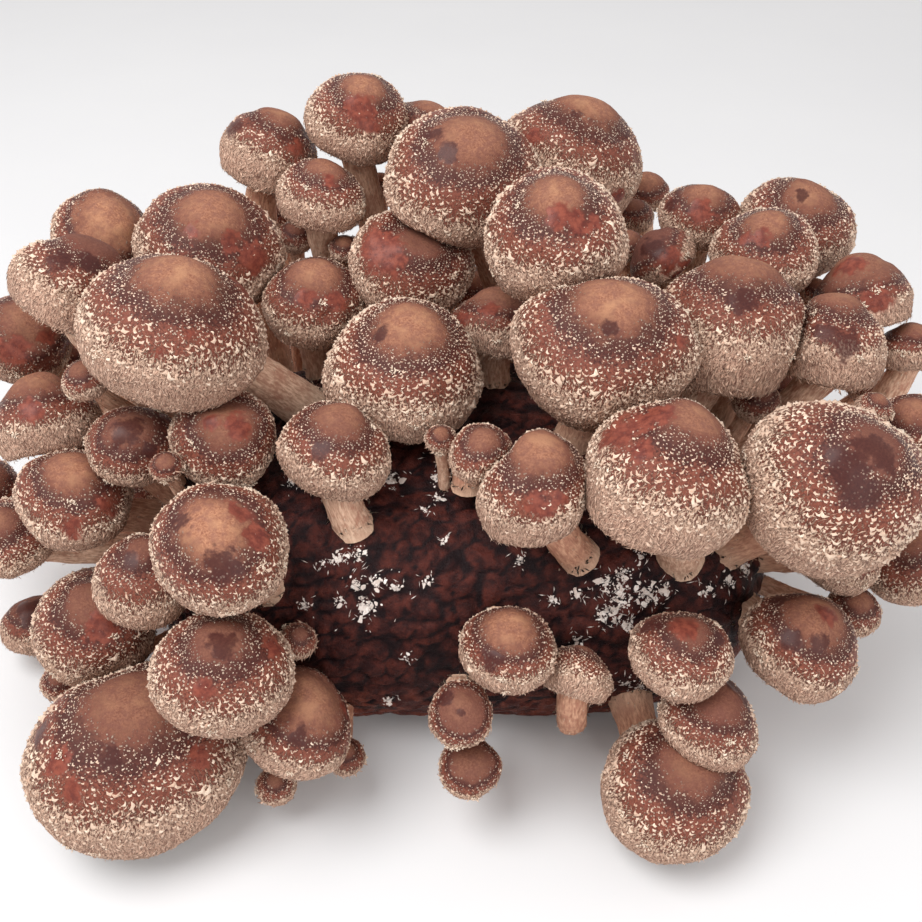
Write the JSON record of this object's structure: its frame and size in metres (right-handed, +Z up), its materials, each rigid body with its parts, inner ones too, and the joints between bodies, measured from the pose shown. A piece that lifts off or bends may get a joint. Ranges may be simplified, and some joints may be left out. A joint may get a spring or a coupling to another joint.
{
  "type": "shiitake grow kit",
  "caption": "Loaf-shaped block of skinned-over sawdust standing on a flat base, with stalked shiitake of many sizes growing out of its top, ends, front and back.",
  "frame": {"origin": "middle of the block's flat base, on the surface that it stands on", "axes": "+Z up, +X along the block's length to the right, +Y towards the block's back"},
  "size_m": [0.4039, 0.2923, 0.194],
  "materials": {
    "block": "blistered dark skin",
    "mycelium": "matte white fluff",
    "mushroom": "matte, velvety",
    "scales": "matte cream flecks"
  },
  "bodies": {
    "root": {"back_left": "mushroom", "back_middle": "mushroom", "back_middle_left": "mushroom", "back_middle_right": "mushroom", "back_right": "mushroom", "block": "block", "crown_left_back": "mushroom", "crown_left_high": "mushroom", "crown_left_inner": "mushroom", "crown_left_largest": "mushroom", "crown_left_low": "mushroom", "crown_left_outer": "mushroom", "crown_left_pale": "mushroom", "crown_left_small": "mushroom", "crown_left_wide": "mushroom", "crown_left_young": "mushroom", "crown_middle_back": "mushroom", "crown_middle_dotted": "mushroom", "crown_middle_front": "mushroom", "crown_middle_high": "mushroom", "crown_middle_inner": "mushroom", "crown_middle_patched": "mushroom", "crown_middle_shaded": "mushroom", "crown_middle_upright": "mushroom", "crown_middle_wide": "mushroom", "crown_middle_wrinkled": "mushroom", "crown_right_back": "mushroom", "crown_right_glossy": "mushroom", "crown_right_outer": "mushroom", "crown_right_pale": "mushroom", "crown_right_round": "mushroom", "crown_right_small": "mushroom", "crown_right_smooth": "mushroom", "crown_right_tall": "mushroom", "crown_right_tip": "mushroom", "front_left_largest": "mushroom", "front_left_ragged": "mushroom", "front_left_round": "mushroom", "front_left_smooth": "mushroom", "front_left_speckled": "mushroom", "front_middle_dark": "mushroom", "front_middle_lowest": "mushroom", "front_middle_slit": "mushroom", "front_middle_tilted": "mushroom", "front_middle_tufted": "mushroom", "front_right_dark": "mushroom", "front_right_folded": "mushroom", "front_right_lowest": "mushroom", "front_right_pale": "mushroom", "front_right_patched": "mushroom", "front_right_streaked": "mushroom", "front_right_tucked": "mushroom", "left_end_bare": "mushroom", "left_end_far": "mushroom", "left_end_fibrous": "mushroom", "left_end_hidden": "mushroom", "left_end_smooth": "mushroom", "left_end_speckled": "mushroom", "left_end_streaked": "mushroom", "right_end_outer": "mushroom"}
  },
  "joints": []
}
